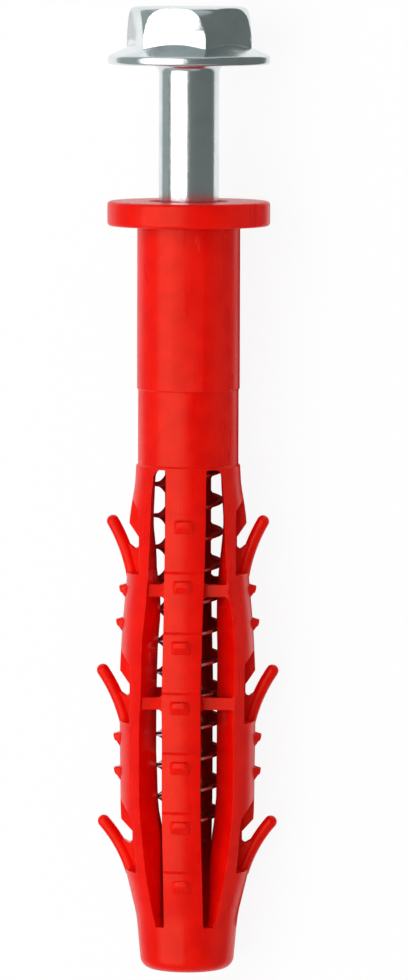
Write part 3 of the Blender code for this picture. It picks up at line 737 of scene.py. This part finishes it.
def makeSleeve(material):
    def tool(name, build, sidesX=(1, -1), sidesY=(1,)):
        bm = bmesh.new()
        mirrored(bm, build, sidesX, sidesY)
        return makeObject(name, bm)

    bm = bmesh.new()
    revolve(bm, sleeveProfile(), sleeve["steps"])
    made = makeObject("nylonSleeve", bm)
    both = (1, -1)
    carve(made, tool("frontSlots", buildSlots, (-1,), (-1,)), "DIFFERENCE")
    carve(made, tool("backSlots", buildBackSlots, (1,)), "DIFFERENCE")
    carve(made, buildTeeth(), "DIFFERENCE")
    carve(made, tool("pockets", buildPockets, both, both), "DIFFERENCE")
    carve(made, tool("gaps", buildGaps), "DIFFERENCE")
    carve(made, tool("flats", buildFlats, (1,), both), "DIFFERENCE")
    carve(made, tool("backWebs", buildWebs, (1,)), "UNION")
    carve(made, tool("frontWebs", buildWebs, (-1,), (-1,)), "UNION")
    carve(made, tool("raised", buildAllRaised, (1,)), "UNION")
    carve(made, tool("barbs", buildWhiskers), "UNION")
    finishPiece(made, "sleeve", "expansion_sleeve", material, sleeve["smoothAngle"])


# The screw: hexagon, flange, shank and thread in one piece
screw = {
    "standOff": 15.9,
    "length": 95.0,
    "shankRadius": 3.5,
    "shankLength": 41.5,
    "shankEnd": 0.6,
    "shankSink": 0.2,
    "coreOverlap": 1.5,
    "flangeRadius": 9.42,
    "flangeRim": 1.1,
    "flangeCone": ((5.5, 2.8), (6.3, 2.5), (7.2, 2.0)),
    "flangeFillet": 1.0,
    "rimRounding": 0.35,
    "rimSweep": 70.0,
    "steps": 160,
    "cornerSteps": 8,
    "smoothAngle": 30.0,
}
hexagon = {
    "acrossFlats": 13.0,
    "root": 1.3,
    "height": 6.699,  # a hair under the solid's, so that this stays inside its box
    "corners": (
        (6.1, 0.0), (6.45, 0.06), (6.72, 0.25), (6.98, 0.7), (7.2, 1.35), (7.36, 2.4), (7.6, 4.4), (7.7, 5.9),
    ),
    "turn": -14.0,
    "trimAbove": 0.5,
    "trimBelow": 1.0,
    "trimSteps": 40,
}
thread = {
    "coreRadius": 2.7,
    "radius": 4.1,
    "pitch": 3.67,
    "crestWidth": 0.34,
    "rootWidth": 2.1,
    "rootSink": 0.2,
    "hollow": 2.7,
    "phase": 102.0,
    "start": 1.2,
    "pointLength": 8.0,
    "pointRadius": 0.25,
    "pointHeight": 0.25,
    "pointWidth": 0.45,
    "runOut": 0.6,
    "runOutSink": 0.05,
    "stepsPerTurn": 64,
    "flankSteps": 6,
}
flangeZ = sleeve["length"] + screw["standOff"]
pointZ = flangeZ - screw["length"]
threadTopZ = flangeZ - screw["shankLength"]
headTopZ = flangeZ + hexagon["height"]


def flangeProfile():
    steps = screw["cornerSteps"]
    rounding, fillet = screw["rimRounding"], screw["flangeFillet"]
    rimX = screw["flangeRadius"] - rounding
    top = [(0.0, flangeZ + screw["flangeCone"][0][1])]
    top += [(radius, flangeZ + rise) for radius, rise in screw["flangeCone"]]
    top += arc(rimX, flangeZ + screw["flangeRim"] - rounding, rounding, screw["rimSweep"], 0, steps)
    under = arc(rimX, flangeZ + rounding, rounding, 0, -90, steps)
    filletX = screw["shankRadius"] + fillet
    under += arc(filletX, flangeZ - fillet, fillet, 90, 180, steps)
    endZ = threadTopZ - screw["shankEnd"]
    end = [(screw["shankRadius"], threadTopZ), (thread["coreRadius"] - screw["shankSink"], endZ), (0.0, endZ)]
    return top + under + end


def buildHexagon():
    turn = math.radians(hexagon["turn"])
    bm = bmesh.new()
    corner = hexagon["acrossFlats"] / 2 / math.cos(math.pi / 6)
    low = flangeZ + hexagon["root"]
    revolve(bm, [(0.0, headTopZ), (corner, headTopZ), (corner, low), (0.0, low)], 6, turn)
    made = makeObject("hexagon", bm)
    trim = bmesh.new()
    above, below = headTopZ + hexagon["trimAbove"], flangeZ + hexagon["trimBelow"]
    corner = throughPoints([(depth, radius) for radius, depth in hexagon["corners"]])
    outline = [(0.0, above), (corner(0.0), above)]
    depths = np.linspace(0, headTopZ - below, hexagon["trimSteps"])
    outline += [(corner(depth), headTopZ - depth) for depth in depths]
    outline += [(0.0, below)]
    revolve(trim, outline, screw["steps"], turn)
    carve(made, makeObject("trim", trim), "INTERSECT")
    return made


def coreRadius(z):
    share = min(max((z - pointZ) / thread["pointLength"], 0.0), 1.0)
    return thread["pointRadius"] + (thread["coreRadius"] - thread["pointRadius"]) * share


def threadRing(angle, z, height, width):  # flanks hollow out into the core, as rolled threads do
    core = coreRadius(z)
    depth = (thread["radius"] - thread["coreRadius"]) * height
    crest, root = thread["crestWidth"], thread["rootWidth"]
    flank = [(core - thread["rootSink"], thread["rootWidth"] / 2 * width)]
    for share in np.linspace(0, 1, thread["flankSteps"] + 1):
        spread = crest + (root - crest) * (1 - share) ** thread["hollow"]
        flank.append((core + depth * share, spread / 2 * width))
    section = [(r, -half) for r, half in flank] + [(r, half) for r, half in reversed(flank)]
    return [(r * math.cos(angle), r * math.sin(angle), z + rise) for r, rise in section]


def buildThread():
    bm = bmesh.new()
    start = pointZ + thread["start"]
    end = threadTopZ - thread["rootWidth"]
    perTurn = thread["stepsPerTurn"]
    steps = int((end - start) / thread["pitch"] * perTurn)
    rings = []
    for i in range(steps + 1):
        turns = i / perTurn
        z = start + turns * thread["pitch"]
        grow = min((z - pointZ) / thread["pointLength"], 1.0)
        fade = min((steps - i) / (thread["runOut"] * perTurn), 1.0)
        height = thread["pointHeight"] + (1 - thread["pointHeight"]) * grow
        height = height * fade - thread["runOutSink"] * (1 - fade)
        width = thread["pointWidth"] + (1 - thread["pointWidth"]) * grow
        rings.append(threadRing(math.radians(thread["phase"]) + turns * 2 * math.pi, z, height, width))
    loft(bm, rings)
    return makeObject("thread", bm)


def buildCore():
    bm = bmesh.new()
    top = threadTopZ + screw["coreOverlap"]
    core, point = thread["coreRadius"], thread["pointRadius"]
    taperZ = pointZ + thread["pointLength"]
    outline = [(0.0, top), (core, top), (core, taperZ), (point, pointZ), (0.0, pointZ)]
    revolve(bm, outline, thread["stepsPerTurn"], math.radians(thread["phase"]))
    return makeObject("core", bm)


def makeScrew(material):
    bm = bmesh.new()
    revolve(bm, flangeProfile(), screw["steps"])
    made = makeObject("flangeScrew", bm)
    carve(made, buildHexagon(), "UNION")
    carve(made, buildCore(), "UNION")
    carve(made, buildThread(), "UNION")
    finishPiece(made, "screw", "flange_head_screw", material, screw["smoothAngle"])


# The camera stands in front of the strip with the pads, a little above the head's end
camera = {
    "distance": 820.0,
    "height": 127.5,
    "turn": 1.2,
    "lookHeight": 56.26,
    "lookAcross": 1.86,
    "lean": 0.15,
    "lens": 258.9,
    "clip": (0.01, 20.0),
}


def makeCamera():
    turn = math.radians(camera["turn"])
    towards = Vector((math.sin(turn), -math.cos(turn), 0))
    right = Vector((math.cos(turn), math.sin(turn), 0))
    eye = fixing @ (towards * camera["distance"] + Vector((0, 0, camera["height"])))
    target = fixing @ (right * camera["lookAcross"] + Vector((0, 0, camera["lookHeight"])))
    back = (eye - target).normalized()
    lean = math.radians(camera["lean"])
    up = fixing.to_3x3() @ (Vector((0, 0, 1)) * math.cos(lean) - right * math.sin(lean))
    side = up.cross(back).normalized()
    turned = Matrix((side, back.cross(side), back)).transposed().to_4x4()
    made = bpy.data.objects.new("camera", bpy.data.cameras.new("camera"))
    made.data.lens = camera["lens"]
    made.data.clip_start, made.data.clip_end = camera["clip"]
    made.matrix_world = Matrix.Translation(eye) @ turned
    bpy.context.scene.collection.objects.link(made)
    bpy.context.scene.camera = made


# Studio: a soft box overhead, a pale floor, and grey walls and dark cards that only reflections see; two
# maroon cards under the barrel are painted shade in the thread's reflections
studio = {
    "floorSize": 6.0,
    "floorColour": (0.86, 0.86, 0.86),
    "floorWhite": 0.92,
    "boxX": (-0.459, 0.29),
    "boxY": (-0.45, 0.45),
    "boxHeight": 0.60,
    "boxPower": 4.75,
    "ambient": (0.30, 0.30, 0.31),
    "wallReach": 1.2,
    "wallHeight": 1.0,
    "flagStart": 0.0094,
    # maroon cards under the barrel and slots: painted shade, so the thread reflects dark red as if it saw the
    # sleeve's shaded inside and the shadowed floor
    "barrelShadeCard": (-0.0055, 0.006, -0.052, 0.033),
    "slotShadeCard": (-0.016, -0.0055, -0.025, 0.005),
    "flagLift": 0.0002,
    "paintedShadeMaroon": (0.10, 0.008, 0.008),
    "dark": (0.15, 0.17, 0.165),
    "middle": (0.33, 0.375, 0.37),
    "pale": (0.45, 0.49, 0.49),
}


def lightPath(tree):  # 1 for the rays that should see a white background
    wires = [Wire.node(tree, "ShaderNodeLightPath", output=name)
             for name in ("Is Camera Ray", "Is Glossy Ray", "Is Transmission Ray")]
    return wires[0].larger(wires[1]).larger(wires[2])


def makeFloor():
    material, tree = newMaterial("paleFloor")
    diffuse = Wire.node(tree, "ShaderNodeBsdfDiffuse", None, {"Color": (*studio["floorColour"], 1)})
    white = Wire.node(tree, "ShaderNodeEmission", None, {"Color": (1, 1, 1, 1), "Strength": 1.0})
    inputs = {0: lightPath(tree) * studio["floorWhite"], 1: diffuse, 2: white}
    surface = Wire.node(tree, "ShaderNodeMixShader", None, inputs)
    Wire.node(tree, "ShaderNodeOutputMaterial", None, {"Surface": surface})
    bm = bmesh.new()
    bmesh.ops.create_grid(bm, x_segments=1, y_segments=1, size=studio["floorSize"] / 2)
    made = makeObject("floor", bm)
    made.data.materials.append(material)


def makeCard(name, corners, colour):  # a flat card that lamps and the camera don't see, only reflections
    material, tree = newMaterial(name)
    glow = Wire.node(tree, "ShaderNodeEmission", None, {"Color": (*colour, 1), "Strength": 1.0})
    Wire.node(tree, "ShaderNodeOutputMaterial", None, {"Surface": glow})
    bm = bmesh.new()
    bm.faces.new([bm.verts.new(corner) for corner in corners])
    made = makeObject(name, bm)
    made.data.materials.append(material)
    for kind in ("camera", "diffuse", "transmission", "volume_scatter", "shadow"):
        setattr(made, "visible_" + kind, False)


def makeStudio():
    makeFloor()
    reach, high = studio["wallReach"], studio["wallHeight"]
    start, lift = studio["flagStart"], studio["flagLift"]
    flag = [(start, -reach, lift), (reach, -reach, lift), (reach, reach, lift), (start, reach, lift)]
    makeCard("floorFlag", flag, studio["dark"])
    # painted shade: maroon cards under the barrel that only reflections see
    for name in ("barrelShadeCard", "slotShadeCard"):
        lowX, highX, lowY, highY = studio[name]
        under = [(lowX, lowY, lift), (highX, lowY, lift), (highX, highY, lift), (lowX, highY, lift)]
        makeCard(name, under, studio["paintedShadeMaroon"])
    right = [(reach, -reach, 0), (reach, reach, 0), (reach, reach, high), (reach, -reach, high)]
    makeCard("rightWall", right, studio["dark"])
    left = [(-reach, -reach, 0), (-reach, reach, 0), (-reach, reach, high), (-reach, -reach, high)]
    makeCard("leftWall", left, studio["middle"])
    for name, y in (("headWall", reach), ("tipWall", -reach)):
        corners = [(-reach, y, 0), (reach, y, 0), (reach, y, high), (-reach, y, high)]
        makeCard(name, corners, studio["pale"])
    ceiling = [(-reach, -reach, high), (reach, -reach, high), (reach, reach, high), (-reach, reach, high)]
    makeCard("ceiling", ceiling, studio["dark"])

    lamp = bpy.data.lights.new("softBox", "AREA")
    lamp.shape = "RECTANGLE"
    lamp.size = studio["boxX"][1] - studio["boxX"][0]
    lamp.size_y = studio["boxY"][1] - studio["boxY"][0]
    lamp.energy = studio["boxPower"]
    made = bpy.data.objects.new("softBox", lamp)
    made.location = (sum(studio["boxX"]) / 2, sum(studio["boxY"]) / 2, studio["boxHeight"])
    bpy.context.scene.collection.objects.link(made)

    world = bpy.data.worlds.new("studioWorld")
    world.use_nodes = True
    tree = world.node_tree
    tree.nodes.clear()
    dim = Wire.node(tree, "ShaderNodeBackground", None, {"Color": (*studio["ambient"], 1)})
    white = Wire.node(tree, "ShaderNodeBackground", None, {"Color": (1, 1, 1, 1)})
    mixed = Wire.node(tree, "ShaderNodeMixShader", None, {0: lightPath(tree), 1: dim, 2: white})
    Wire.node(tree, "ShaderNodeOutputWorld", None, {"Surface": mixed})
    bpy.context.scene.world = world


makeCamera()
makeStudio()
print("camera and studio are up")
makeSleeve(makeRedNylon())
makeScrew(makeZincPlating())

bpy.context.scene.view_settings.view_transform = "Standard"
